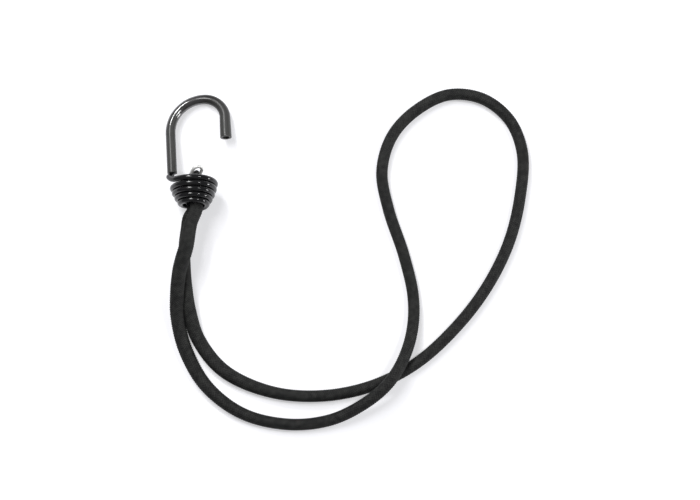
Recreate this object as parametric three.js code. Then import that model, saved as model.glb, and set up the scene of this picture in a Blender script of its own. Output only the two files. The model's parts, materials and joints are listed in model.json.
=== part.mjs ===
// Bungee loop: one length of shock cord, doubled, with both ends held in the bell-shaped spiral of a sleeved
// wire hook. Millimetres, +Z up. The loop lies on the plane z = 0, the hook points along +Y, and the origin is
// on that plane under the middle of the hook.
import * as THREE from 'three';

// Hook wire, measured to the middle of the wire from the centre of the spiral's rim
const WIRE = 2.6;
const COIL_GAP = 0.42;
const COIL_TURNS = 4.6;
const COIL_BELL = THREE.MathUtils.degToRad(29);
const RIM_RADIUS = 11.6;
const LEAD_TURNS = 0.2;
const LEAD_RISE = 2.4;
const LEAD_FLARE = 1.2;
const FOOT_BEND = { fromLeg: 3, intoLead: 2.5 };
const LEG_OFFSET = 11.1;
const LEG_FOOT = 7.1;
const LEG_BEND = 18.5;
const ARM_BEND = 11;
const ARM_LENGTH = 10.5;
const CROWN_HEIGHT = 47.5;
const WIRE_SIDES = 10;
const WIRE_STEPS = 180;

// Plastic sleeve on the hook, from the foot of the leg to past the wire's tip, where its open end spreads
const SLEEVE_WALL = 1;
const SLEEVE_FIT = 0.3;
const SLEEVE_OVERHANG = 1.2;
const SLEEVE_FOOT_GAP = 0.5;
const SLEEVE_SPREAD = 1.19;
const SPREAD_LENGTH = 26;
const SLEEVE_SIDES = 12;
const SLEEVE_STEPS = 38;

// Shock cord: a braided cover round a bundle of rubber strands
const CORD = 6;
const COVER_WALL = 0.55;
const STRAND = 1.16;
const STRAND_CIRCLE = 3;
const STRAND_COUNT = 7;
const CORD_SIDES = 10;
const STRAND_SIDES = 5;

// The two cord ends lie one over the other in the spiral, squeezed by the throat and by the clip.
// Each squeeze is a share of the cord's own diameter, across the pair and along it.
const PAIR_LEAN = THREE.MathUtils.degToRad(33);
const PAIR_GAP = 0.42;
const THROAT_FIT = 0.35;
const THROAT_SQUEEZE = { across: 1.15, along: 0.6 };
const CLIP_SQUEEZE = { across: 0.42, along: 0.95 };
const NO_SQUEEZE = { across: 1, along: 1 };
const RELAX_LENGTH = 24;

// Wire clip closed round both cord ends just beyond the spiral's rim
const CLIP_WIRE = 1.9;
const CLIP_FIT = 0.3;
const CLIP_HEIGHT = 3.2;
const CLIP_TILT = THREE.MathUtils.degToRad(30);
const CLIP_OPENING = 1;
const CUT_TAIL = 3;
const CLIP_SIDES = 8;
const CLIP_STEPS = 36;

// Route of the free cord from the spiral's throat round the loop and back: x, y and height above the floor.
// The first strand leaves on top, and it crosses over the second one on the far side.
const CORD_ROUTE = [
  [-5.6, -38.1, 15], [-8.9, -50.1, 14.2], [-14.5, -63.1, 11], [-17.2, -76.9, 6.6], [-17.8, -87.9, 3],
  [-14.7, -105.4, 0.5], [-4.7, -124.9, 0], [13.8, -140.4, 0], [37.8, -147.7, 0], [59.8, -146.9, 0.6],
  [78, -139.8, 4.2], [91.5, -130.1, 6.7], [101, -117, 5], [106.8, -101.5, 1.6], [108.4, -84.5, 0],
  [105, -62, 0], [98.6, -37, 0], [96.6, -16.5, 0], [103, 1.5, 0], [116, 14.3, 0], [135, 22.4, 0],
  [153.5, 19, 0], [167, 6.5, 0], [172.5, -11.5, 0], [169.5, -35, 0], [161.5, -59.5, 0], [147.5, -83, 0],
  [129, -103.5, 0], [107, -120.5, 0], [82.8, -130.6, 0], [55.8, -133.9, 0], [28.8, -129.7, 0],
  [5.2, -117, 0], [-7.2, -99.4, 0.4], [-10.8, -83.9, 2.4], [-11.6, -68.9, 4.1], [-11.3, -57.1, 6],
  [-10.6, -46.1, 7.9], [-8.5, -37.1, 8.9],
];
const EXIT_RUN = 2;
const SETTLE_LENGTH = 75;
const TAIL_STEPS = { grip: 2, spiral: 3, exit: 1, relax: 4, settle: 6 };
const LOOP_STEPS = 48;

// Fineness of the curves when their lengths and gaps are measured
const LENGTH_DIVISIONS = 4000;
const GAP_SAMPLES = 1200;

const FINISHES = {
  enamel: { color: 0x14161a, roughness: 0.25, metalness: 0.7 },
  vinyl: { color: 0x101113, roughness: 0.3, metalness: 0 },
  zinc: { color: 0xc4c6c4, roughness: 0.35, metalness: 1 },
  braid: { color: 0x2c2e2d, roughness: 0.85, metalness: 0 },
  rubber: { color: 0xcdb894, roughness: 0.7, metalness: 0 },
};

const UP = new THREE.Vector3(0, 0, 1);

function mesh(name, geometry, finish) {
  const part = new THREE.Mesh(geometry, new THREE.MeshStandardMaterial(FINISHES[finish]));
  part.name = name;
  return part;
}

// A flat path lifted to z = 0 of its own frame
class FlatCurve extends THREE.Curve {
  constructor(path) {
    super();
    this.path = path;
  }

  getPoint(t, target = new THREE.Vector3()) {
    const point = this.path.getPoint(t);
    return target.set(point.x, point.y, 0);
  }
}

// The side of the spiral, from its rim to its throat, is an arc along which the turns are evenly spaced
class BellSide {
  constructor(drop, length, bend) {
    const chord = (length * Math.sin(bend / 2)) / (bend / 2);
    this.radius = length / bend;
    this.rimSlope = Math.asin(drop / chord) - bend / 2;
    this.bendPerTurn = bend / COIL_TURNS;
  }

  slope(turn) {
    return this.rimSlope + this.bendPerTurn * turn;
  }

  drop(turn) {
    return this.radius * (Math.cos(this.rimSlope) - Math.cos(this.slope(turn)));
  }

  depth(turn) {
    return this.radius * (Math.sin(this.slope(turn)) - Math.sin(this.rimSlope));
  }
}

// The spiral comes over the rim from a wider, higher lead-in, and closes in along the bell to the throat
class BellSpiral extends THREE.Curve {
  getPoint(t, target = new THREE.Vector3()) {
    const turn = THREE.MathUtils.lerp(-LEAD_TURNS, COIL_TURNS, t);
    const lead = Math.min(turn, 0) / LEAD_TURNS;
    const angle = Math.PI / 2 - 2 * Math.PI * turn;
    const radius = RIM_RADIUS - bellSide.drop(turn) + LEAD_FLARE * lead ** 4;
    const height = LEAD_RISE * lead ** 6 - bellSide.depth(turn);
    return target.set(radius * Math.cos(angle), height, radius * Math.sin(angle));
  }
}

function wireAlong(curve, diameter, sides, steps) {
  const outline = new THREE.Shape().absarc(0, 0, diameter / 2, 0, 2 * Math.PI);
  return new THREE.ExtrudeGeometry(outline, { extrudePath: curve, steps, curveSegments: sides / 2 });
}

// Least clear distance between stretches of a tube that aren't next to each other along it
function leastSelfGap(points, diameter) {
  const step = points[0].distanceTo(points[1]);
  const apart = Math.ceil((2 * diameter) / step);
  let least = Infinity;
  for (let i = 0; i < points.length; i += 1) {
    for (let j = i + apart; j < points.length; j += 1) {
      least = Math.min(least, points[i].distanceTo(points[j]));
    }
  }
  return least - diameter;
}

// A regular outline with flat sides below and above, which are the tube's diameter apart
function polygon(sides, flatRadius) {
  const radius = flatRadius / Math.cos(Math.PI / sides);
  return Array.from({ length: sides }, (_, k) => {
    const angle = (2 * Math.PI * (k + 0.5)) / sides - Math.PI / 2;
    return new THREE.Vector2(radius * Math.cos(angle), radius * Math.sin(angle));
  });
}

// A place for an outline on a tube: its centre and two directions square to the tube, scaled by the squeeze
function section(centre, tangent, upward, squeeze) {
  const upright = upward.clone().addScaledVector(tangent, -upward.dot(tangent)).normalize();
  const across = new THREE.Vector3().crossVectors(upright, tangent);
  across.multiplyScalar(squeeze.across);
  upright.multiplyScalar(squeeze.along);
  return { centre, across, upright };
}

// A closed solid through one outline at every section, with an open bore where a second outline is given
function loft(sections, outline, bore) {
  const positions = [];
  const faces = [];
  const addRings = (shape) => {
    const first = positions.length / 3;
    for (const { centre, across, upright } of sections) {
      for (const { x, y } of shape) {
        const point = centre.clone().addScaledVector(across, x).addScaledVector(upright, y);
        positions.push(point.x, point.y, point.z);
      }
    }
    return first;
  };
  const quad = (a, b, c, d) => faces.push(a, b, c, a, c, d);
  const sides = outline.length;
  const last = (sections.length - 1) * sides;
  const outer = addRings(outline);
  const inner = bore ? addRings(bore) : null;
  for (let k = 0; k < sides; k += 1) {
    const next = (k + 1) % sides;
    for (let ring = 0; ring < last; ring += sides) {
      quad(outer + ring + k, outer + ring + next, outer + ring + sides + next, outer + ring + sides + k);
      if (bore) {
        quad(inner + ring + k, inner + ring + sides + k, inner + ring + sides + next, inner + ring + next);
      }
    }
    if (bore) {
      quad(outer + k, inner + k, inner + next, outer + next);
      quad(outer + last + k, outer + last + next, inner + last + next, inner + last + k);
    } else if (k > 0 && next > 0) {
      faces.push(outer, outer + next, outer + k);
      faces.push(outer + last, outer + last + k, outer + last + next);
    }
  }
  const geometry = new THREE.BufferGeometry();
  geometry.setAttribute('position', new THREE.Float32BufferAttribute(positions, 3));
  geometry.setIndex(faces);
  geometry.computeVertexNormals();
  return geometry;
}

const cordOutline = polygon(CORD_SIDES, CORD / 2);
const pairOffset = (squeeze) => (squeeze.along * CORD + PAIR_GAP) / 2;

function pairRadius(squeeze) {
  const reach = (p) => Math.hypot(squeeze.across * p.x, squeeze.along * p.y + pairOffset(squeeze));
  return Math.max(...cordOutline.map(reach));
}

// Spiral: the throat fits the squeezed pair of cords, and each turn clears the next by the coil gap
const throatRadius = pairRadius(THROAT_SQUEEZE) + THROAT_FIT + WIRE / 2;
const bellSide = new BellSide(RIM_RADIUS - throatRadius, COIL_TURNS * (WIRE + COIL_GAP), COIL_BELL);
const throatDepth = bellSide.depth(COIL_TURNS);
const sleeveBore = WIRE + 2 * SLEEVE_FIT;
const sleeveDiameter = sleeveBore + 2 * SLEEVE_WALL;

// Hook outline from the tip over the crown to the foot of the leg
function hookPath(tipExtra, legEnd) {
  const crownX = LEG_BEND - LEG_OFFSET;
  const armTop = CROWN_HEIGHT - ARM_BEND;
  return new THREE.Path()
    .moveTo(crownX + ARM_BEND, armTop - ARM_LENGTH - tipExtra)
    .lineTo(crownX + ARM_BEND, armTop)
    .absarc(crownX, armTop, ARM_BEND, 0, Math.PI / 2)
    .absarc(crownX, CROWN_HEIGHT - LEG_BEND, LEG_BEND, Math.PI / 2, Math.PI)
    .lineTo(-LEG_OFFSET, legEnd);
}

function hookWireCurve() {
  const spiral = new BellSpiral();
  const foot = new THREE.Vector3(-LEG_OFFSET, LEG_FOOT, 0);
  const entry = spiral.getPoint(0);
  const bend = new THREE.CubicBezierCurve3(
    foot,
    foot.clone().add(new THREE.Vector3(0, -FOOT_BEND.fromLeg, 0)),
    entry.clone().addScaledVector(spiral.getTangent(0), -FOOT_BEND.intoLead),
    entry,
  );
  const curve = new THREE.CurvePath();
  curve.add(new FlatCurve(hookPath(0, LEG_FOOT)));
  curve.add(bend);
  curve.add(spiral);
  return curve;
}

function hookWire() {
  const curve = hookWireCurve();
  const gap = leastSelfGap(curve.getSpacedPoints(GAP_SAMPLES), WIRE);
  console.log(`hook wire: ${curve.getLength().toFixed(0)} mm, least gap between turns ${gap.toFixed(2)} mm`);
  return mesh('hook_wire', wireAlong(curve, WIRE, WIRE_SIDES, WIRE_STEPS), 'enamel');
}

function hookSleeve() {
  const curve = new FlatCurve(hookPath(SLEEVE_OVERHANG, LEG_FOOT + SLEEVE_FOOT_GAP));
  const sections = Array.from({ length: SLEEVE_STEPS + 1 }, (_, k) => {
    const t = k / SLEEVE_STEPS;
    const spread = 1 - THREE.MathUtils.smoothstep(t * curve.getLength(), 0, SPREAD_LENGTH);
    const size = THREE.MathUtils.lerp(1, SLEEVE_SPREAD, spread);
    return section(curve.getPointAt(t), curve.getTangentAt(t), UP, { across: size, along: size });
  });
  const outline = polygon(SLEEVE_SIDES, sleeveDiameter / 2);
  return mesh('hook_sleeve', loft(sections, outline, polygon(SLEEVE_SIDES, sleeveBore / 2)), 'vinyl');
}

// Direction from the lower to the upper cord end, square to the spiral's axis
const pairAxis = new THREE.Vector3(Math.sin(PAIR_LEAN), 0, Math.cos(PAIR_LEAN));

// The clip is a rounded oblong, tilted so that its upper end leans out over the rim, and open at its lower end
function cordClip() {
  const cordHalfWidth = Math.max(...cordOutline.map((p) => CLIP_SQUEEZE.across * p.x));
  const pairHalfLength = pairOffset(CLIP_SQUEEZE) + (CLIP_SQUEEZE.along * CORD) / 2;
  const bend = cordHalfWidth + CLIP_FIT + CLIP_WIRE / 2;
  const halfLength = (pairHalfLength + CLIP_FIT + CLIP_WIRE / 2) / Math.cos(CLIP_TILT);
  const straight = halfLength - bend;
  const openAngle = CLIP_OPENING / 2 / bend;
  const outline = new THREE.Path()
    .absarc(0, -straight, bend, openAngle - Math.PI / 2, 0)
    .absarc(0, straight, bend, 0, Math.PI)
    .absarc(0, -straight, bend, Math.PI, 1.5 * Math.PI - openAngle);
  const wire = wireAlong(new FlatCurve(outline), CLIP_WIRE, CLIP_SIDES, CLIP_STEPS);
  const clip = mesh('cord_clip', wire, 'zinc');
  const spiralAxis = new THREE.Vector3(0, 1, 0);
  const across = new THREE.Vector3().crossVectors(spiralAxis, pairAxis);
  const lengthwise = pairAxis.clone().multiplyScalar(Math.cos(CLIP_TILT));
  lengthwise.addScaledVector(spiralAxis, Math.sin(CLIP_TILT));
  const facing = new THREE.Vector3().crossVectors(across, lengthwise);
  clip.quaternion.setFromRotationMatrix(new THREE.Matrix4().makeBasis(across, lengthwise, facing));
  clip.position.set(0, CLIP_HEIGHT, 0);
  return clip;
}

// The hook lies on the underside of its rim and on its crown, which sets how far it pitches forward
function restPitch() {
  const underside = 0.5;
  const drop = RIM_RADIUS - bellSide.drop(underside);
  const reach = CROWN_HEIGHT + bellSide.depth(underside);
  const fatter = (sleeveDiameter - WIRE) / 2;
  return Math.atan2(drop, reach) - Math.asin(fatter / Math.hypot(drop, reach));
}

function hookAtRest() {
  const hook = new THREE.Group();
  hook.add(hookWire(), hookSleeve(), cordClip());
  hook.rotation.x = -restPitch();
  const box = new THREE.Box3().setFromObject(hook, true);
  const centre = box.getCenter(new THREE.Vector3());
  hook.position.set(-centre.x, -centre.y, -box.min.z);
  hook.updateMatrixWorld(true);
  return hook;
}

// Distances along the cord from a cut end: gripped by the clip, narrowest in the throat and till it is clear of
// it, round again, settled
const gripEnd = 2 * CUT_TAIL;
const throatAt = CUT_TAIL + CLIP_HEIGHT + throatDepth;
const clearAt = throatAt + EXIT_RUN;
const roundAt = clearAt + RELAX_LENGTH;

function cordCurve(hook) {
  const tail = (side) => {
    const at = (height, squeeze) => new THREE.Vector3(0, height, 0)
      .addScaledVector(pairAxis, side * pairOffset(squeeze))
      .applyMatrix4(hook.matrixWorld);
    return [
      at(CLIP_HEIGHT + CUT_TAIL, CLIP_SQUEEZE),
      at(CLIP_HEIGHT - CUT_TAIL, CLIP_SQUEEZE),
      at(-throatDepth, THROAT_SQUEEZE),
      at(-throatDepth - EXIT_RUN, THROAT_SQUEEZE),
    ];
  };
  const loop = CORD_ROUTE.map(([x, y, lift]) => new THREE.Vector3(x, y, CORD / 2 + lift));
  const curve = new THREE.CatmullRomCurve3([...tail(1), ...loop, ...tail(-1).reverse()]);
  curve.arcLengthDivisions = LENGTH_DIVISIONS;
  return curve;
}

// Ring stations: every change of squeeze has one, and the loop between is evenly stepped
function stations(length) {
  const stretches = [
    [0, gripEnd, TAIL_STEPS.grip],
    [gripEnd, throatAt, TAIL_STEPS.spiral],
    [throatAt, clearAt, TAIL_STEPS.exit],
    [clearAt, roundAt, TAIL_STEPS.relax],
    [roundAt, SETTLE_LENGTH, TAIL_STEPS.settle],
  ];
  const head = stretches.flatMap(([from, to, count]) => (
    Array.from({ length: count }, (_, k) => THREE.MathUtils.lerp(from, to, k / count))));
  const loop = Array.from({ length: LOOP_STEPS + 1 }, (_, k) => (
    THREE.MathUtils.lerp(SETTLE_LENGTH, length - SETTLE_LENGTH, k / LOOP_STEPS)));
  return [...head, ...loop, ...head.map((s) => length - s).reverse()];
}

function squeezeAt(distance) {
  const between = (from, to, a, b) => {
    const t = THREE.MathUtils.smoothstep(distance, from, to);
    return {
      across: THREE.MathUtils.lerp(a.across, b.across, t),
      along: THREE.MathUtils.lerp(a.along, b.along, t),
    };
  };
  if (distance <= clearAt) return between(gripEnd, throatAt, CLIP_SQUEEZE, THROAT_SQUEEZE);
  return between(clearAt, roundAt, THROAT_SQUEEZE, NO_SQUEEZE);
}

// Section frames: the cord's own upright follows the pair in the spiral and turns to +Z before the floor
function cordSections(hook) {
  const curve = cordCurve(hook);
  const length = curve.getLength();
  const distances = stations(length);
  const points = distances.map((s) => {
    const point = curve.getPointAt(s / length);
    point.z = Math.max(point.z, CORD / 2);
    return point;
  });
  const free = curve.getSpacedPoints(GAP_SAMPLES).filter((_, k, all) => {
    const s = (k / (all.length - 1)) * length;
    return s > roundAt && s < length - roundAt;
  });
  const gap = leastSelfGap(free, CORD);
  console.log(`cord: ${length.toFixed(0)} mm, least gap to itself ${gap.toFixed(2)} mm`);
  const pairUp = pairAxis.clone().transformDirection(hook.matrixWorld);
  return points.map((centre, k) => {
    const fromEnd = Math.min(distances[k], length - distances[k]);
    const before = points[Math.max(k - 1, 0)];
    const after = points[Math.min(k + 1, points.length - 1)];
    const tangent = new THREE.Vector3().subVectors(after, before).normalize();
    const turned = THREE.MathUtils.smoothstep(fromEnd, roundAt, SETTLE_LENGTH);
    const upward = new THREE.Vector3().lerpVectors(pairUp, UP, turned);
    return section(centre, tangent, upward, squeezeAt(fromEnd));
  });
}

function coverAndStrands(sections) {
  const bore = polygon(CORD_SIDES, CORD / 2 - COVER_WALL);
  const cover = mesh('cord_cover', loft(sections, cordOutline, bore), 'braid');
  const strands = Array.from({ length: STRAND_COUNT }, (_, k) => {
    const angle = (2 * Math.PI * k) / (STRAND_COUNT - 1);
    const out = k < STRAND_COUNT - 1 ? STRAND_CIRCLE / 2 : 0;
    const place = new THREE.Vector2(out * Math.cos(angle), out * Math.sin(angle));
    const outline = polygon(STRAND_SIDES, (STRAND / 2) * Math.cos(Math.PI / STRAND_SIDES));
    return mesh(`core_strand_${k + 1}`, loft(sections, outline.map((p) => p.add(place))), 'rubber');
  });
  return [cover, ...strands];
}

const bungeeLoop = new THREE.Group();
const hook = hookAtRest();
bungeeLoop.add(hook, ...coverAndStrands(cordSections(hook)));

export default bungeeLoop;
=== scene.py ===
"""Bungee loop: a braided shock cord, a sleeved wire hook with a bell-shaped spiral, and a wire clip.

Metres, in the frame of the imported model: the loop lies on z = 0 and the hook points along +Y.
"""
import json
import math

import bpy
import numpy as np
from mathutils import Matrix, Vector


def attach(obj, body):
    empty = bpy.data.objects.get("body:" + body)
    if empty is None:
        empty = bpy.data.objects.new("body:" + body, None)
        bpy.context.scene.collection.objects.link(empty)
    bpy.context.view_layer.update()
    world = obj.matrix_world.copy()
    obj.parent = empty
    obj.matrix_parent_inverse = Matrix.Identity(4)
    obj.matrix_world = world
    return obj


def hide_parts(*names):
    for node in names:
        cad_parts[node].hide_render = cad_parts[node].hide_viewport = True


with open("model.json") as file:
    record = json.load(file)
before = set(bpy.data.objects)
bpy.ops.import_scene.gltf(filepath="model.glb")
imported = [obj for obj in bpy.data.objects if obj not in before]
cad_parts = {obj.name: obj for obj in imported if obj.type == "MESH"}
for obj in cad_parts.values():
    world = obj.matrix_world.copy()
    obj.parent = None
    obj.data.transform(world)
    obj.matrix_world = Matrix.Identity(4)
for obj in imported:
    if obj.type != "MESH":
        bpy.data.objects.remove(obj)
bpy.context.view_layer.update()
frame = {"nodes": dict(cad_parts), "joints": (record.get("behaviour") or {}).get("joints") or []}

MM = 0.001

# Hook wire and its spiral. The bare wire sets the shapes, and its coating closes the gaps between the turns.
WIRE = 2.6 * MM
COATED_WIRE = 3.03 * MM
COIL_GAP = 0.42 * MM
COIL_TURNS = 4.6
COIL_BELL = math.radians(29)
RIM_RADIUS = 11.6 * MM
LEAD_TURNS = 0.2
LEAD_RISE = 2.4 * MM
LEAD_FLARE = 1.2 * MM
BEND_FROM_LEG = 3 * MM
BEND_INTO_LEAD = 2.5 * MM
LEG_OFFSET = 11.1 * MM
LEG_FOOT = 7.1 * MM
LEG_BEND = 18.5 * MM
ARM_BEND = 11 * MM
ARM_LENGTH = 10.5 * MM
CROWN_HEIGHT = 47.5 * MM
WIRE_SIDES = 20
WIRE_STEP = 0.6 * MM
SPIRAL_POINTS = 1500
BEND_POINTS = 60

# Cut ends of the wires: how much of the radius their rounded edge takes, and its steps
CUT_EDGE = 0.3
CUT_EDGE_STEPS = 5

# Sleeve, with its open end spread and both its lips rounded. Its foot slips down onto the wire's curl.
SLEEVE_WALL = 1 * MM
SLEEVE_FIT = 0.3 * MM
SLEEVE_OVERHANG = 1.2 * MM
SLEEVE_FOOT_GAP = 0.5 * MM
SLEEVE_SLIP = 1 * MM
SLEEVE_SPREAD = 1.19
SPREAD_LENGTH = 26 * MM
SLEEVE_LIP = 0.12 * MM
LIP_STEPS = 3
SLEEVE_SIDES = 36
SLEEVE_STEP = 0.7 * MM

# Cord and how the spiral and the clip squeeze it: across the pair of ends, and along the pair
CORD = 6 * MM
CORD_SIDES = 10
PAIR_LEAN = math.radians(33)
PAIR_GAP = 0.42 * MM
THROAT_FIT = 0.35 * MM
THROAT_SQUEEZE = np.array((1.15, 0.6))
CLIP_SQUEEZE = np.array((0.42, 0.95))
NO_SQUEEZE = np.array((1.0, 1.0))
RELAX_LENGTH = 24 * MM
SETTLE_LENGTH = 75 * MM
EXIT_RUN = 2 * MM
CUT_TAIL = 3 * MM

# Clip
CLIP_WIRE = 1.9 * MM
CLIP_FIT = 0.3 * MM
CLIP_HEIGHT = 3.2 * MM
CLIP_TILT = math.radians(30)
CLIP_OPENING = 1 * MM
CLIP_SIDES = 20
CLIP_STEP = 0.5 * MM

# Route of the free cord: x, y and height above the floor
CORD_ROUTE = [
    (-0.0056, -0.0381, 0.015), (-0.0089, -0.0501, 0.0142), (-0.0145, -0.0631, 0.011),
    (-0.0172, -0.0769, 0.0066), (-0.0178, -0.0879, 0.003), (-0.0147, -0.1054, 0.0005),
    (-0.0047, -0.1249, 0), (0.0138, -0.1404, 0), (0.0378, -0.1477, 0), (0.0598, -0.1469, 0.0006),
    (0.078, -0.1398, 0.0042), (0.0915, -0.1301, 0.0067), (0.101, -0.117, 0.005), (0.1068, -0.1015, 0.0016),
    (0.1084, -0.0845, 0), (0.105, -0.062, 0), (0.0986, -0.037, 0), (0.0966, -0.0165, 0), (0.103, 0.0015, 0),
    (0.116, 0.0143, 0), (0.135, 0.0224, 0), (0.1535, 0.019, 0), (0.167, 0.0065, 0), (0.1725, -0.0115, 0),
    (0.1695, -0.035, 0), (0.1615, -0.0595, 0), (0.1475, -0.083, 0), (0.129, -0.1035, 0),
    (0.107, -0.1205, 0), (0.0828, -0.1306, 0), (0.0558, -0.1339, 0), (0.0288, -0.1297, 0),
    (0.0052, -0.117, 0), (-0.0072, -0.0994, 0.0004), (-0.0108, -0.0839, 0.0024), (-0.0116, -0.0689, 0.0041),
    (-0.0113, -0.0571, 0.006), (-0.0106, -0.0461, 0.0079), (-0.0085, -0.0371, 0.0089),
]

# Cover bunched up near the hook: how much wider it is, where along the upper and the lower end that starts,
# where the upper one leans over to the inside of its bend, and where all of it ends
BUNCH = 1.2 * MM
BUNCH_RISE = (26 * MM, 50 * MM)
LOWER_RISE = (50 * MM, 85 * MM)
LEAN_RISE = (30 * MM, 52 * MM)
BUNCH_FALL = (100 * MM, 155 * MM)

# How far the lower end is tucked in under the upper one below the hook, and where that starts and ends
TUCK = 0.9 * MM
TUCK_RISE = (23 * MM, 32 * MM)
TUCK_FALL = (28 * MM, 46 * MM)

# How much wider the upper end is pressed where it crosses the lower one, to its outer side, and where
PRESS = 0.9 * MM
PRESS_RISE = (26 * MM, 40 * MM)
PRESS_FALL = (42 * MM, 60 * MM)

# Braid: yarns each way round the cord, length of a yarn's full turn, the heights of the plaits, and the
# melted cut ends, which narrow to the root of a share of the radius
CARRIERS = 16
LAY = 20 * MM
FLOAT_RELIEF = 0.17 * MM
CROWN_RELIEF = 0.14 * MM
DIVE_RELIEF = 0.01 * MM
GROOVE_RELIEF = -0.03 * MM
CORNER_RELIEF = -0.09 * MM
MELTED_END = 1.2 * MM
MELTED_SHARE = 0.3

# Camera, as the photograph was taken: its tilt, distance, turn and scale in the middle of a 700 x 500 frame
VIEW_TARGET = np.array((0.07658, -0.05725, 0))
VIEW_ELEVATION = math.radians(85)
VIEW_TURN = math.radians(-4)
VIEW_DISTANCE = 0.9
VIEW_WIDTH = 700 * 0.536 * MM
SENSOR = 36
NEAREST_SEEN = 0.01

# Finishes. A span is a range of values and the range that it becomes, a grain is how often a pattern repeats
# each way on a surface's map, a scale is how fine it is in space, and a height is how far it stands out.
YARN_COLOR = (0.043, 0.044, 0.041)
# Painted shade: the dark colour the yarns take towards their edges, in the grooves where one dives under the
# next. It is also the colour of their random darker filaments and patches.
GROOVE_SHADE_AND_MOTTLE_COLOR = (0.004, 0.004, 0.0046)
YARN_SPECULAR = 0.18
YARN_SHEEN = 0.02
YARN_SHEEN_ROUGHNESS = 0.4
YARN_ROUGHNESS = ((0.3, 0.7), (0.8, 0.56))
FILAMENT_GRAIN = (7, 0.7)
FILAMENT_HEIGHT = 0.05 * MM
FUZZ_SCALE = 4000
FUZZ_HEIGHT = 0.012 * MM
YARN_PATCH_SCALE = 420
# Painted shade: how much darker each yarn gets towards its edges
EDGE_SHADE = ((0.25, 1), (0, 0.75))
FILAMENT_SHADE = ((0.3, 0.7), (0.35, 0))
PATCH_SHADE = ((0.35, 0.65), (0, 0.4))

ENAMEL_COLOR = (0.006, 0.006, 0.0065)
RUBBED_COLOR = (0.018, 0.017, 0.016)
ENAMEL_SPECULAR = 0.36
ENAMEL_COAT = 0.18
ENAMEL_COAT_ROUGHNESS = 0.06
ENAMEL_ROUGHNESS = ((0.4, 0.75), (0.1, 0.22))
PEEL_SCALE = 700
PEEL_HEIGHT = 0.02 * MM
RUB_GRAIN = (9, 120)
RUB_TINT = ((0.52, 0.78), (0, 1))

VINYL_COLOR = (0.05, 0.05, 0.048)
DRAW_LINE_COLOR = (0.066, 0.066, 0.063)
VINYL_SPECULAR = 0.3
VINYL_ROUGHNESS = ((0.3, 0.7), (0.24, 0.4))
DRAW_LINE_GRAIN = (34, 12)
DRAW_LINE_TINT = ((0.4, 0.7), (0, 1))
DRAW_LINE_HEIGHT = 0.012 * MM
CLOUD_SCALE = 160
CLOUD_HEIGHT = 0.03 * MM

# Where along the sleeve, from its tip, the bend is rubbed bright in patches, and where its colour is darker
# as a painted dark reflection of its polish
POLISH_RISE = (24 * MM, 32 * MM)
POLISH_FALL = (48 * MM, 58 * MM)
POLISH_ROUGHNESS = 0.05
POLISH_IOR = 1.8
POLISH_PATCH_SCALE = 170
POLISH_PATCHES = ((0.36, 0.46), (0, 1))
# Painted reflection: the bend's darker colour stands for the dark surroundings that its polish reflects
PAINTED_REFLECTION_COLOR = (0.017, 0.016, 0.015)
PAINTED_REFLECTION_RISE = (15 * MM, 27 * MM)
PAINTED_REFLECTION_FALL = (42 * MM, 57 * MM)

ZINC_COLOR = (0.94, 0.94, 0.92)
DULL_ZINC_COLOR = (0.8, 0.8, 0.77)
ZINC_METALLIC = 0.6
ZINC_ROUGHNESS = ((0.3, 0.7), (0.34, 0.52))
DRAW_MARK_GRAIN = (26, 160)
DRAW_MARK_HEIGHT = 0.01 * MM
PLATING_SCALE = 500
PLATING_TINT = ((0.35, 0.7), (0, 1))

# Light: the world, softboxes (offset from the view's target, size and power), and the floor
WORLD_COLOR = (0.94, 0.95, 1.0)
WORLD_STRENGTH = 0.22
SOFTBOXES = (
    ("key", (-0.36, 0.46, 1.02), 0.5, 5.6),
    ("upper_lamp", (-0.34, 0.74, 0.76), 0.22, 4.4),
    ("right_lamp", (0.53, 0.1, 0.94), 0.21, 2.8),
    ("low_lamp", (1.15, -0.36, 0.24), 0.28, 5.6),
)
FLOOR_COLOR = (0.72, 0.72, 0.75)
FLOOR_GLOW = 0.43
FLOOR_ROUGHNESS = 0.9
FLOOR_SPECULAR = 0.1
FLOOR_REACH = 3


def smoothstep(value, low, high):
    t = np.clip((value - low) / (high - low), 0, 1)
    return t * t * (3 - 2 * t)


def unit(rows):
    return rows / np.linalg.norm(rows, axis=-1, keepdims=True)


# The hook's own frame: origin on the spiral's axis in its rim plane, +Y to the crown
swivel = next(joint for joint in frame["joints"] if joint["name"] == "hook_swivel")
hook_x = np.array((1.0, 0.0, 0.0))
hook_y = np.array(swivel["axis"])
HOOK_AXES = np.array((hook_x, hook_y, np.cross(hook_x, hook_y)))
HOOK_ORIGIN = np.array(swivel["pos_m"])


def from_hook(points):
    return np.asarray(points, float) @ HOOK_AXES + HOOK_ORIGIN


# The squeezed pair of cord ends, and the spiral that closes round it
def pair_offset(squeeze):
    return (squeeze[1] * CORD + PAIR_GAP) / 2


def pair_radius(squeeze):
    angle = (np.arange(CORD_SIDES) + 0.5) * 2 * math.pi / CORD_SIDES - math.pi / 2
    corner = CORD / 2 / math.cos(math.pi / CORD_SIDES)
    across = squeeze[0] * corner * np.cos(angle)
    along = squeeze[1] * corner * np.sin(angle) + pair_offset(squeeze)
    return np.hypot(across, along).max()


throat_radius = pair_radius(THROAT_SQUEEZE) + THROAT_FIT + WIRE / 2
bell_length = COIL_TURNS * (WIRE + COIL_GAP)
bell_radius = bell_length / COIL_BELL
bell_chord = bell_length * math.sin(COIL_BELL / 2) / (COIL_BELL / 2)
rim_slope = math.asin((RIM_RADIUS - throat_radius) / bell_chord) - COIL_BELL / 2


def bell_side(turn):
    """How far the spiral has closed in and gone down from its rim after so many turns."""
    slope = rim_slope + COIL_BELL / COIL_TURNS * turn
    closed_in = bell_radius * (math.cos(rim_slope) - np.cos(slope))
    depth = bell_radius * (np.sin(slope) - math.sin(rim_slope))
    return closed_in, depth


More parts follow.
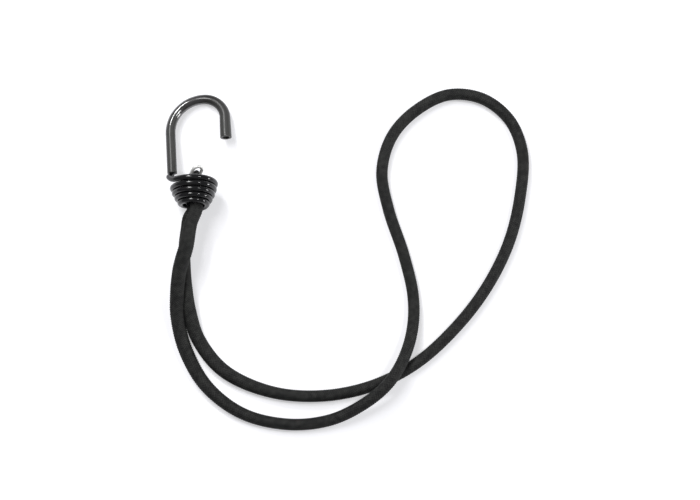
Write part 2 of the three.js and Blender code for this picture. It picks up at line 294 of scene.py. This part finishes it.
throat_depth = bell_side(COIL_TURNS)[1]
pair_axis = np.array((math.sin(PAIR_LEAN), 0, math.cos(PAIR_LEAN)))


# Curves as rows of points
def line(start, end, count=60):
    t = np.linspace(0, 1, count)[:, None]
    return np.asarray(start) * (1 - t) + np.asarray(end) * t


def arc(centre, radius, first, last, count=160):
    angle = np.linspace(first, last, count)
    return np.column_stack((
        centre[0] + radius * np.cos(angle),
        centre[1] + radius * np.sin(angle),
        np.zeros(count),
    ))


def join(*runs):
    points = np.concatenate(runs)
    apart = np.linalg.norm(np.diff(points, axis=0), axis=1) > 1e-7
    return points[np.concatenate(([True], apart))]


class Path:
    """A row of points, read by the distance along it."""

    def __init__(self, points):
        self.points = points
        steps = np.linalg.norm(np.diff(points, axis=0), axis=1)
        self.at = np.concatenate(([0], np.cumsum(steps)))
        self.length = self.at[-1]

    def places(self, distance):
        return np.column_stack([np.interp(distance, self.at, self.points[:, c]) for c in range(3)])

    def tangents(self, distance):
        reach = 0.3 * MM
        ahead = self.places(np.minimum(distance + reach, self.length))
        behind = self.places(np.maximum(distance - reach, 0))
        return unit(ahead - behind)


def hook_outline(tip_extra, leg_end):
    crown_x = LEG_BEND - LEG_OFFSET
    arm_top = CROWN_HEIGHT - ARM_BEND
    arm_x = crown_x + ARM_BEND
    leg_top = CROWN_HEIGHT - LEG_BEND
    return join(
        line((arm_x, arm_top - ARM_LENGTH - tip_extra, 0), (arm_x, arm_top, 0)),
        arc((crown_x, arm_top), ARM_BEND, 0, math.pi / 2),
        arc((crown_x, leg_top), LEG_BEND, math.pi / 2, math.pi),
        line((-LEG_OFFSET, leg_top, 0), (-LEG_OFFSET, leg_end, 0)),
    )


def bell_spiral(turn):
    lead = np.minimum(turn, 0) / LEAD_TURNS
    closed_in, depth = bell_side(turn)
    angle = math.pi / 2 - 2 * math.pi * turn
    radius = RIM_RADIUS - closed_in + LEAD_FLARE * lead ** 4
    height = LEAD_RISE * lead ** 6 - depth
    return np.column_stack((radius * np.cos(angle), height, radius * np.sin(angle)))


def hook_wire_points():
    spiral = bell_spiral(np.linspace(-LEAD_TURNS, COIL_TURNS, SPIRAL_POINTS))
    foot = np.array((-LEG_OFFSET, LEG_FOOT, 0))
    inward = unit(spiral[1] - spiral[0])
    handles = (foot, foot - (0, BEND_FROM_LEG, 0), spiral[0] - inward * BEND_INTO_LEAD, spiral[0])
    t = np.linspace(0, 1, BEND_POINTS)[:, None]
    weights = ((1 - t) ** 3, 3 * t * (1 - t) ** 2, 3 * t ** 2 * (1 - t), t ** 3)
    bend = sum(weight * handle for weight, handle in zip(weights, handles))
    return join(hook_outline(0, LEG_FOOT), bend, spiral)


def clip_points():
    half_width = CLIP_SQUEEZE[0] * CORD / 2 / math.cos(math.pi / CORD_SIDES)
    half_length = pair_offset(CLIP_SQUEEZE) + CLIP_SQUEEZE[1] * CORD / 2
    bend = half_width + CLIP_FIT + CLIP_WIRE / 2
    straight = (half_length + CLIP_FIT + CLIP_WIRE / 2) / math.cos(CLIP_TILT) - bend
    opening = CLIP_OPENING / 2 / bend
    flat = join(
        arc((0, -straight), bend, opening - math.pi / 2, 0),
        line((bend, -straight, 0), (bend, straight, 0)),
        arc((0, straight), bend, 0, math.pi),
        line((-bend, straight, 0), (-bend, -straight, 0)),
        arc((0, -straight), bend, math.pi, 1.5 * math.pi - opening),
    )
    spiral_axis = np.array((0, 1, 0))
    across = np.cross(spiral_axis, pair_axis)
    lengthwise = pair_axis * math.cos(CLIP_TILT) + spiral_axis * math.sin(CLIP_TILT)
    return flat[:, :1] * across + flat[:, 1:2] * lengthwise + spiral_axis * CLIP_HEIGHT


def centripetal(knots, count=40):
    """A smooth curve through the knots, paced by the root of the distance between them."""
    padded = np.concatenate(([2 * knots[0] - knots[1]], knots, [2 * knots[-1] - knots[-2]]))
    t = np.linspace(0, 1, count, endpoint=False)[:, None]
    runs = []
    for p0, p1, p2, p3 in zip(padded, padded[1:], padded[2:], padded[3:]):
        d0, d1, d2 = (math.sqrt(np.linalg.norm(b - a)) for a, b in ((p0, p1), (p1, p2), (p2, p3)))
        m1 = ((p1 - p0) / d0 - (p2 - p0) / (d0 + d1) + (p2 - p1) / d1) * d1
        m2 = ((p2 - p1) / d1 - (p3 - p1) / (d1 + d2) + (p3 - p2) / d2) * d1
        curve = p1 + m1 * t + (3 * (p2 - p1) - 2 * m1 - m2) * t ** 2 + (2 * (p1 - p2) + m1 + m2) * t ** 3
        runs.append(curve)
    return np.concatenate(runs + [knots[-1:]])


def cord_points():
    stops = (
        (CLIP_HEIGHT + CUT_TAIL, CLIP_SQUEEZE),
        (CLIP_HEIGHT - CUT_TAIL, CLIP_SQUEEZE),
        (-throat_depth, THROAT_SQUEEZE),
        (-throat_depth - EXIT_RUN, THROAT_SQUEEZE),
    )
    over = from_hook([(0, at, 0) + pair_offset(squeeze) * pair_axis for at, squeeze in stops])
    under = from_hook([(0, at, 0) - pair_offset(squeeze) * pair_axis for at, squeeze in stops])
    loop = np.array(CORD_ROUTE) + (0, 0, CORD / 2)
    points = centripetal(np.concatenate((over, loop, under[::-1])))
    points[:, 2] = np.maximum(points[:, 2], CORD / 2)
    return points


# Meshes
def new_piece(name, vertices, faces, body, nodes):
    data = bpy.data.meshes.new(name)
    data.from_pydata(vertices.tolist(), [], faces)
    data.polygons.foreach_set("use_smooth", np.ones(len(data.polygons), bool))
    data.update()
    piece = bpy.data.objects.new(name, data)
    bpy.context.scene.collection.objects.link(piece)
    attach(piece, body)
    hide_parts(*nodes)
    return piece


def ring_faces(count, sides, closed):
    """Quads between neighbouring rings of a tube, with flat ends where the tube doesn't close on itself."""
    faces = []
    for k in range(count if closed else count - 1):
        here = k * sides
        there = (k + 1) % count * sides
        for s in range(sides):
            t = (s + 1) % sides
            faces.append((here + s, here + t, there + t, there + s))
    if not closed:
        faces.append(tuple(range(sides))[::-1])
        faces.append(tuple((count - 1) * sides + s for s in range(sides)))
    return faces


def steady_frames(tangents, first):
    """Two directions square to the path at each place, which don't turn about it on the way."""
    normal = first
    normals = []
    for tangent in tangents:
        normal = unit(normal - tangent * np.dot(normal, tangent))
        normals.append(normal)
    normals = np.array(normals)
    return normals, np.cross(tangents, normals)


def swept(path, profile, sides, first):
    """Rings round a path: each row of the profile is a distance along the path and a radius."""
    distance, radius = np.array(profile).T
    order = np.argsort(distance, kind="stable")
    tangents = path.tangents(distance)
    across = np.empty_like(tangents)
    upright = np.empty_like(tangents)
    across[order], upright[order] = steady_frames(tangents[order], np.array(first, float))
    angle = np.arange(sides) * 2 * math.pi / sides
    ring = np.cos(angle)[:, None] * across[:, None] + np.sin(angle)[:, None] * upright[:, None]
    return (path.places(distance)[:, None] + ring * radius[:, None, None]).reshape(-1, 3)


def rounded_wire(length, radius, step):
    """Profile of a wire whose cut ends are lightly rounded."""
    edge = CUT_EDGE * radius
    angles = np.linspace(math.pi / 2, 0, CUT_EDGE_STEPS)
    start = [(edge * (1 - math.sin(a)), radius - edge * (1 - math.cos(a))) for a in angles]
    middle = [(s, radius) for s in np.linspace(edge, length - edge, round(length / step))[1:-1]]
    end = [(length - s, r) for s, r in reversed(start)]
    return start + middle + end


def add_tube_map(piece, profile, sides, closed):
    """Map a tube's rings: U goes once round it, and V is the distance along it in metres."""
    along = [s for s, _ in profile]
    following = along[1:] + along[:1] if closed else along[1:]
    values = []
    for here, there in zip(along, following):
        for side in range(sides):
            left = side / sides
            right = (side + 1) / sides
            values += (left, here, right, here, right, there, left, there)
    layer = piece.data.uv_layers.new(name="tube")
    flat = np.zeros(len(piece.data.loops) * 2, np.float32)
    flat[:len(values)] = values
    layer.data.foreach_set("uv", flat)


def make_hook_wire():
    path = Path(hook_wire_points())
    profile = rounded_wire(path.length, COATED_WIRE / 2, WIRE_STEP)
    vertices = from_hook(swept(path, profile, WIRE_SIDES, (0, 0, 1)))
    faces = ring_faces(len(profile), WIRE_SIDES, closed=False)
    piece = new_piece("wire_hook", vertices, faces, "hook", ["hook_wire"])
    add_tube_map(piece, profile, WIRE_SIDES, closed=False)
    return piece


def make_sleeve():
    path = Path(hook_outline(SLEEVE_OVERHANG, LEG_FOOT + SLEEVE_FOOT_GAP - SLEEVE_SLIP))
    inner = WIRE / 2 + SLEEVE_FIT
    outer = inner + SLEEVE_WALL
    run = np.linspace(SLEEVE_LIP, path.length - SLEEVE_LIP, round(path.length / SLEEVE_STEP))
    turn = np.linspace(0, math.pi / 2, LIP_STEPS + 1)[1:]
    lip = [(path.length - SLEEVE_LIP * (1 - math.sin(a)), SLEEVE_LIP * (1 - math.cos(a))) for a in turn]
    outside = [(s, outer) for s in run]
    foot = [(s, outer - rounding) for s, rounding in lip]
    foot += [(s, inner + rounding) for s, rounding in reversed(lip)]
    inside = [(s, inner) for s in run[::-1]]
    tip = [(path.length - s, r) for s, r in reversed(foot)]
    profile = outside + foot + inside + tip
    spread = [1 + (SLEEVE_SPREAD - 1) * (1 - smoothstep(s, 0, SPREAD_LENGTH)) for s, _ in profile]
    profile = [(s, r * k) for (s, r), k in zip(profile, spread)]
    vertices = from_hook(swept(path, profile, SLEEVE_SIDES, (0, 0, 1)))
    faces = ring_faces(len(profile), SLEEVE_SIDES, closed=True)
    piece = new_piece("plastic_sleeve", vertices, faces, "hook", ["hook_sleeve"])
    add_tube_map(piece, profile, SLEEVE_SIDES, closed=True)
    return piece


def make_clip():
    path = Path(clip_points())
    profile = rounded_wire(path.length, CLIP_WIRE / 2, CLIP_STEP)
    vertices = from_hook(swept(path, profile, CLIP_SIDES, (0, 1, 0)))
    faces = ring_faces(len(profile), CLIP_SIDES, closed=False)
    piece = new_piece("wire_clip", vertices, faces, "cord", ["cord_clip"])
    add_tube_map(piece, profile, CLIP_SIDES, closed=False)
    return piece


def cord_sections(path, distance):
    """Centre and the two scaled directions across the cord at each distance along it."""
    grip_end = 2 * CUT_TAIL
    throat_at = CUT_TAIL + CLIP_HEIGHT + throat_depth
    clear_at = throat_at + EXIT_RUN
    round_at = clear_at + RELAX_LENGTH
    from_end = np.minimum(distance, path.length - distance)[:, None]
    closing = smoothstep(from_end, grip_end, throat_at)
    opening = smoothstep(from_end, clear_at, round_at)
    squeeze = CLIP_SQUEEZE + (THROAT_SQUEEZE - CLIP_SQUEEZE) * closing
    squeeze = squeeze + (NO_SQUEEZE - THROAT_SQUEEZE) * opening
    tangent = path.tangents(distance)
    settled = smoothstep(from_end, round_at, SETTLE_LENGTH)
    upward = (pair_axis @ HOOK_AXES) * (1 - settled) + np.array((0, 0, 1)) * settled
    upright = unit(upward - tangent * (upward * tangent).sum(1, keepdims=True))
    across = np.cross(upright, tangent)
    eased = 1 - smoothstep(from_end, *BUNCH_FALL)
    leaning = smoothstep(from_end, *LEAN_RISE) * eased
    upper_end = (distance < path.length / 2)[:, None]
    rise = np.where(upper_end, smoothstep(from_end, *BUNCH_RISE), smoothstep(from_end, *LOWER_RISE))
    tucked = smoothstep(from_end, *TUCK_RISE) * (1 - smoothstep(from_end, *TUCK_FALL))
    pressed = smoothstep(from_end, *PRESS_RISE) * (1 - smoothstep(from_end, *PRESS_FALL)) * upper_end
    sideways = np.where(upper_end, BUNCH / 2 * leaning - PRESS / 2 * pressed, -TUCK * tucked)
    centre = path.places(distance) + across * sideways
    width = squeeze[:, :1] + (BUNCH * rise * eased + PRESS * pressed) / CORD
    return centre, across * width, upright * squeeze[:, 1:]


def braid_relief(a, b):
    """Height of the cover at half-cell (a, b) of the two families of yarns, each over two and under two."""
    step = (a // 2 + b // 2) % 4
    relief = np.full(a.shape, CORNER_RELIEF)
    on_first = (a % 2 == 1) & (b % 2 == 0)
    on_second = (a % 2 == 0) & (b % 2 == 1)
    relief[on_first | on_second] = DIVE_RELIEF
    relief[(on_first & (step == 1)) | (on_second & (step == 3))] = FLOAT_RELIEF
    relief[(on_first & (step == 3)) | (on_second & (step == 1))] = GROOVE_RELIEF
    relief[(a % 2 == 1) & (b % 2 == 1)] = CROWN_RELIEF
    return relief


def make_cord():
    path = Path(cord_points())
    per_ring = 2 * CARRIERS
    rings = 2 * round(path.length / (LAY / (2 * CARRIERS))) + 1
    k = np.arange(rings)[:, None]
    m = np.arange(per_ring)[None, :]
    around = 2 * m + k % 2
    a = (around + k) // 2
    b = (around - k) // 2
    distance = np.linspace(0, path.length, rings)
    centre, across, upright = cord_sections(path, distance)
    from_end = np.minimum(distance, path.length - distance)
    rounding = np.sqrt(np.clip(1 - (1 - np.clip(from_end / MELTED_END, 0, 1)) ** 2, MELTED_SHARE, 1))
    relief = braid_relief(a, b)
    radius = (CORD / 2 + relief * smoothstep(from_end, 0, MELTED_END)[:, None]) * rounding[:, None]
    angle = 2 * math.pi * around / (4 * CARRIERS)
    vertices = centre[:, None] + across[:, None] * (radius * np.cos(angle))[..., None]
    vertices = vertices + upright[:, None] * (radius * np.sin(angle))[..., None]
    vertices[..., 2] = np.maximum(vertices[..., 2], 0)
    number = k * per_ring + m
    beside = (m + k % 2) % per_ring
    after = (m + 1) % per_ring
    inner = slice(1, rings - 1)
    faces = np.stack((
        number[inner],
        ((k - 1) * per_ring + beside)[inner],
        (number - m + after)[inner],
        ((k + 1) * per_ring + beside)[inner],
    ), axis=-1).reshape(-1, 4)
    first = [(s, (s + 1) % per_ring, per_ring + s) for s in range(per_ring)]
    top = (rings - 1) * per_ring
    last = [(top + s, top - per_ring + s, top + (s + 1) % per_ring) for s in range(per_ring)]
    ends = [tuple(range(per_ring))[::-1], tuple(range(top, top + per_ring))]
    piece = new_piece(
        "braided_cord", vertices.reshape(-1, 3), faces.tolist() + first + last + ends, "cord",
        ["cord_cover"] + [name for name in frame["nodes"] if name.startswith("core_strand")],
    )
    add_yarn_map(piece, a[inner], b[inner])
    return piece


def add_yarn_map(piece, a, b):
    """Map each plait by the yarn that is on top there: U across the yarn and V along it."""
    first_over = ((a // 2 + b // 2) % 4 < 2)[..., None]
    corner_a = a[..., None] + np.array((0, 0, 1, 1))
    corner_b = b[..., None] + np.array((0, 1, 1, 0))
    u = np.where(first_over, corner_a, corner_b) / 2
    v = np.where(first_over, corner_b, corner_a) / 2
    loops = np.stack((u, v), axis=-1).reshape(-1)
    layer = piece.data.uv_layers.new(name="yarn")
    values = np.zeros(len(piece.data.loops) * 2, np.float32)
    values[:len(loops)] = loops
    layer.data.foreach_set("uv", values)


# Camera
def make_camera():
    right = np.array((math.cos(VIEW_TURN), math.sin(VIEW_TURN), 0))
    forward = np.array((-math.sin(VIEW_TURN), math.cos(VIEW_TURN), 0))
    back = math.sin(VIEW_ELEVATION) * np.array((0, 0, 1)) - math.cos(VIEW_ELEVATION) * forward
    up = np.cross(back, right)
    data = bpy.data.cameras.new("camera")
    data.sensor_fit = "HORIZONTAL"
    data.sensor_width = SENSOR
    data.lens = SENSOR * VIEW_DISTANCE / VIEW_WIDTH
    data.clip_start = NEAREST_SEEN
    camera = bpy.data.objects.new("camera", data)
    place = np.eye(4)
    place[:3, 0] = right
    place[:3, 1] = up
    place[:3, 2] = back
    place[:3, 3] = VIEW_TARGET + back * VIEW_DISTANCE
    camera.matrix_world = Matrix(place.tolist())
    bpy.context.scene.collection.objects.link(camera)
    bpy.context.scene.camera = camera


# Materials
def principled(name, color, roughness=0.5, metallic=0.0, specular=0.5):
    material = bpy.data.materials.new(name)
    material.use_nodes = True
    shader = material.node_tree.nodes["Principled BSDF"]
    shader.inputs["Base Color"].default_value = (*color, 1)
    shader.inputs["Roughness"].default_value = roughness
    shader.inputs["Metallic"].default_value = metallic
    shader.inputs["Specular IOR Level"].default_value = specular
    return material, material.node_tree, shader


def dress(piece, material):
    piece.data.materials.clear()
    piece.data.materials.append(material)


def math_node(tree, operation, first, second=0.0):
    made = tree.nodes.new("ShaderNodeMath")
    made.operation = operation
    for socket, value in zip(made.inputs, (first, second)):
        if isinstance(value, bpy.types.NodeSocket):
            tree.links.new(value, socket)
        else:
            socket.default_value = value
    return made.outputs[0]


def map_range(tree, value, span):
    made = tree.nodes.new("ShaderNodeMapRange")
    tree.links.new(value, made.inputs["Value"])
    (low, high), (to_low, to_high) = span
    made.inputs["From Min"].default_value = low
    made.inputs["From Max"].default_value = high
    made.inputs["To Min"].default_value = to_low
    made.inputs["To Max"].default_value = to_high
    return made.outputs["Result"]


def mix_colors(tree, factor, first, second):
    made = tree.nodes.new("ShaderNodeMix")
    made.data_type = "RGBA"
    tree.links.new(factor, made.inputs["Factor"])
    for name, color in (("A", first), ("B", second)):
        if isinstance(color, bpy.types.NodeSocket):
            tree.links.new(color, made.inputs[name])
        else:
            made.inputs[name].default_value = (*color, 1)
    return made.outputs["Result"]


def surface_map(tree, layer, scale):
    """Coordinates of a UV layer, stretched by a factor each way."""
    source = tree.nodes.new("ShaderNodeUVMap")
    source.uv_map = layer
    stretch = tree.nodes.new("ShaderNodeMapping")
    stretch.inputs["Scale"].default_value = (*scale, 1)
    tree.links.new(source.outputs["UV"], stretch.inputs["Vector"])
    return stretch.outputs["Vector"]


def coordinate(tree, vector, axis):
    parts = tree.nodes.new("ShaderNodeSeparateXYZ")
    tree.links.new(vector, parts.inputs["Vector"])
    return parts.outputs[axis]


def stretch_mask(tree, along, rise, fall):
    """One on a stretch of a tube and nothing elsewhere, with soft ends."""
    started = map_range(tree, along, (rise, (0, 1)))
    not_ended = map_range(tree, along, (fall, (1, 0)))
    return math_node(tree, "MULTIPLY", started, not_ended)


def object_map(tree):
    return tree.nodes.new("ShaderNodeTexCoord").outputs["Object"]


def noise(tree, vector, scale, detail):
    made = tree.nodes.new("ShaderNodeTexNoise")
    tree.links.new(vector, made.inputs["Vector"])
    made.inputs["Scale"].default_value = scale
    made.inputs["Detail"].default_value = detail
    return made.outputs["Fac"]


def bump(tree, shader, heights):
    """Relief from pairs of a height and how far it stands out, one over the other."""
    normal = None
    for height, distance in heights:
        made = tree.nodes.new("ShaderNodeBump")
        made.inputs["Distance"].default_value = distance
        tree.links.new(height, made.inputs["Height"])
        if normal:
            tree.links.new(normal, made.inputs["Normal"])
        normal = made.outputs["Normal"]
    tree.links.new(normal, shader.inputs["Normal"])


def braid_material():
    """Black yarns of many fine filaments, with painted shade towards each yarn's edges where it dives under
    the next, and darker filaments and patches at random.
    """
    material, tree, shader = principled("braid", YARN_COLOR, specular=YARN_SPECULAR)
    shader.inputs["Sheen Weight"].default_value = YARN_SHEEN
    shader.inputs["Sheen Roughness"].default_value = YARN_SHEEN_ROUGHNESS
    filaments = noise(tree, surface_map(tree, "yarn", FILAMENT_GRAIN), 1, 2)
    across = coordinate(tree, surface_map(tree, "yarn", (1, 1)), "X")
    off_middle = math_node(tree, "SUBTRACT", math_node(tree, "FRACT", across), 0.5)
    edge = math_node(tree, "MULTIPLY", math_node(tree, "ABSOLUTE", off_middle), 2)
    patchy = noise(tree, object_map(tree), YARN_PATCH_SCALE, 3)
    fuzz = noise(tree, object_map(tree), FUZZ_SCALE, 2)
    # Painted shade: each yarn darkens towards its edges, where it dives under the next
    painted_groove_shade = map_range(tree, edge, EDGE_SHADE)
    painted_shade_and_mottle = math_node(tree, "ADD", painted_groove_shade, map_range(tree, filaments, FILAMENT_SHADE))
    painted_shade_and_mottle = math_node(tree, "ADD", painted_shade_and_mottle, map_range(tree, patchy, PATCH_SHADE))
    tree.links.new(mix_colors(tree, painted_shade_and_mottle, YARN_COLOR, GROOVE_SHADE_AND_MOTTLE_COLOR), shader.inputs["Base Color"])
    tree.links.new(map_range(tree, filaments, YARN_ROUGHNESS), shader.inputs["Roughness"])
    bump(tree, shader, ((filaments, FILAMENT_HEIGHT), (fuzz, FUZZ_HEIGHT)))
    return material


def enamel_material():
    """Thick glossy black coating with a slight orange peel, and a few dull rubs."""
    material, tree, shader = principled("enamel", ENAMEL_COLOR, specular=ENAMEL_SPECULAR)
    shader.inputs["Coat Weight"].default_value = ENAMEL_COAT
    shader.inputs["Coat Roughness"].default_value = ENAMEL_COAT_ROUGHNESS
    peel = noise(tree, object_map(tree), PEEL_SCALE, 2)
    rubs = noise(tree, surface_map(tree, "tube", RUB_GRAIN), 1, 4)
    worn = map_range(tree, rubs, RUB_TINT)
    tree.links.new(mix_colors(tree, worn, ENAMEL_COLOR, RUBBED_COLOR), shader.inputs["Base Color"])
    tree.links.new(map_range(tree, rubs, ENAMEL_ROUGHNESS), shader.inputs["Roughness"])
    bump(tree, shader, ((peel, PEEL_HEIGHT),))
    return material


def vinyl_material():
    """Soft extruded tube: draw lines along it, a cloudy gloss, and a bend that is rubbed bright and carries
    a painted dark reflection.
    """
    material, tree, shader = principled("vinyl", VINYL_COLOR, specular=VINYL_SPECULAR)
    shader.inputs["Coat Roughness"].default_value = POLISH_ROUGHNESS
    shader.inputs["Coat IOR"].default_value = POLISH_IOR
    along = coordinate(tree, surface_map(tree, "tube", (1, 1)), "Y")
    polished = stretch_mask(tree, along, POLISH_RISE, POLISH_FALL)
    patches = map_range(tree, noise(tree, object_map(tree), POLISH_PATCH_SCALE, 2), POLISH_PATCHES)
    tree.links.new(math_node(tree, "MULTIPLY", polished, patches), shader.inputs["Coat Weight"])
    lines = noise(tree, surface_map(tree, "tube", DRAW_LINE_GRAIN), 1, 3)
    cloud = noise(tree, object_map(tree), CLOUD_SCALE, 3)
    tree.links.new(map_range(tree, cloud, VINYL_ROUGHNESS), shader.inputs["Roughness"])
    color = mix_colors(tree, map_range(tree, lines, DRAW_LINE_TINT), VINYL_COLOR, DRAW_LINE_COLOR)
    # Painted reflection: the bend's colour is darkened where its polish would reflect dark surroundings
    bend = stretch_mask(tree, along, PAINTED_REFLECTION_RISE, PAINTED_REFLECTION_FALL)
    tree.links.new(mix_colors(tree, bend, color, PAINTED_REFLECTION_COLOR), shader.inputs["Base Color"])
    bump(tree, shader, ((lines, DRAW_LINE_HEIGHT), (cloud, CLOUD_HEIGHT)))
    return material


def zinc_material():
    """Bright plated wire with draw marks along it and a patchy plating."""
    material, tree, shader = principled("zinc", ZINC_COLOR, metallic=ZINC_METALLIC)
    lines = noise(tree, surface_map(tree, "tube", DRAW_MARK_GRAIN), 1, 3)
    cloud = noise(tree, object_map(tree), PLATING_SCALE, 3)
    tree.links.new(map_range(tree, lines, ZINC_ROUGHNESS), shader.inputs["Roughness"])
    tint = map_range(tree, cloud, PLATING_TINT)
    tree.links.new(mix_colors(tree, tint, ZINC_COLOR, DULL_ZINC_COLOR), shader.inputs["Base Color"])
    bump(tree, shader, ((lines, DRAW_MARK_HEIGHT),))
    return material


# Studio
def softbox(name, offset, size, power):
    lamp = bpy.data.lights.new(name, "AREA")
    lamp.shape = "DISK"
    lamp.size = size
    lamp.energy = power
    box = bpy.data.objects.new(name, lamp)
    box.location = VIEW_TARGET + offset
    box.rotation_euler = Vector(offset).to_track_quat("Z", "Y").to_euler()
    bpy.context.scene.collection.objects.link(box)


def light_studio():
    scene = bpy.context.scene
    scene.view_settings.view_transform = "Standard"
    world = bpy.data.worlds.new("studio")
    world.use_nodes = True
    background = world.node_tree.nodes["Background"]
    background.inputs["Color"].default_value = (*WORLD_COLOR, 1)
    background.inputs["Strength"].default_value = WORLD_STRENGTH
    scene.world = world
    for name, offset, size, power in SOFTBOXES:
        softbox(name, np.array(offset), size, power)


def lay_floor():
    data = bpy.data.meshes.new("floor")
    corners = [(x * FLOOR_REACH, y * FLOOR_REACH, 0) for x, y in ((-1, -1), (1, -1), (1, 1), (-1, 1))]
    data.from_pydata(corners, [], [(0, 1, 2, 3)])
    floor = bpy.data.objects.new("floor", data)
    bpy.context.scene.collection.objects.link(floor)
    material, tree, shader = principled("white_floor", FLOOR_COLOR, FLOOR_ROUGHNESS, specular=FLOOR_SPECULAR)
    path = tree.nodes.new("ShaderNodeLightPath")
    seen = math_node(tree, "MAXIMUM", path.outputs["Is Camera Ray"], path.outputs["Is Glossy Ray"])
    seen = math_node(tree, "MAXIMUM", seen, path.outputs["Is Transmission Ray"])
    glow = tree.nodes.new("ShaderNodeEmission")
    tree.links.new(math_node(tree, "MULTIPLY", seen, FLOOR_GLOW), glow.inputs["Strength"])
    both = tree.nodes.new("ShaderNodeAddShader")
    tree.links.new(shader.outputs["BSDF"], both.inputs[0])
    tree.links.new(glow.outputs["Emission"], both.inputs[1])
    tree.links.new(both.outputs["Shader"], tree.nodes["Material Output"].inputs["Surface"])
    dress(floor, material)


make_camera()
dress(make_cord(), braid_material())
dress(make_hook_wire(), enamel_material())
dress(make_sleeve(), vinyl_material())
dress(make_clip(), zinc_material())
light_studio()
lay_floor()
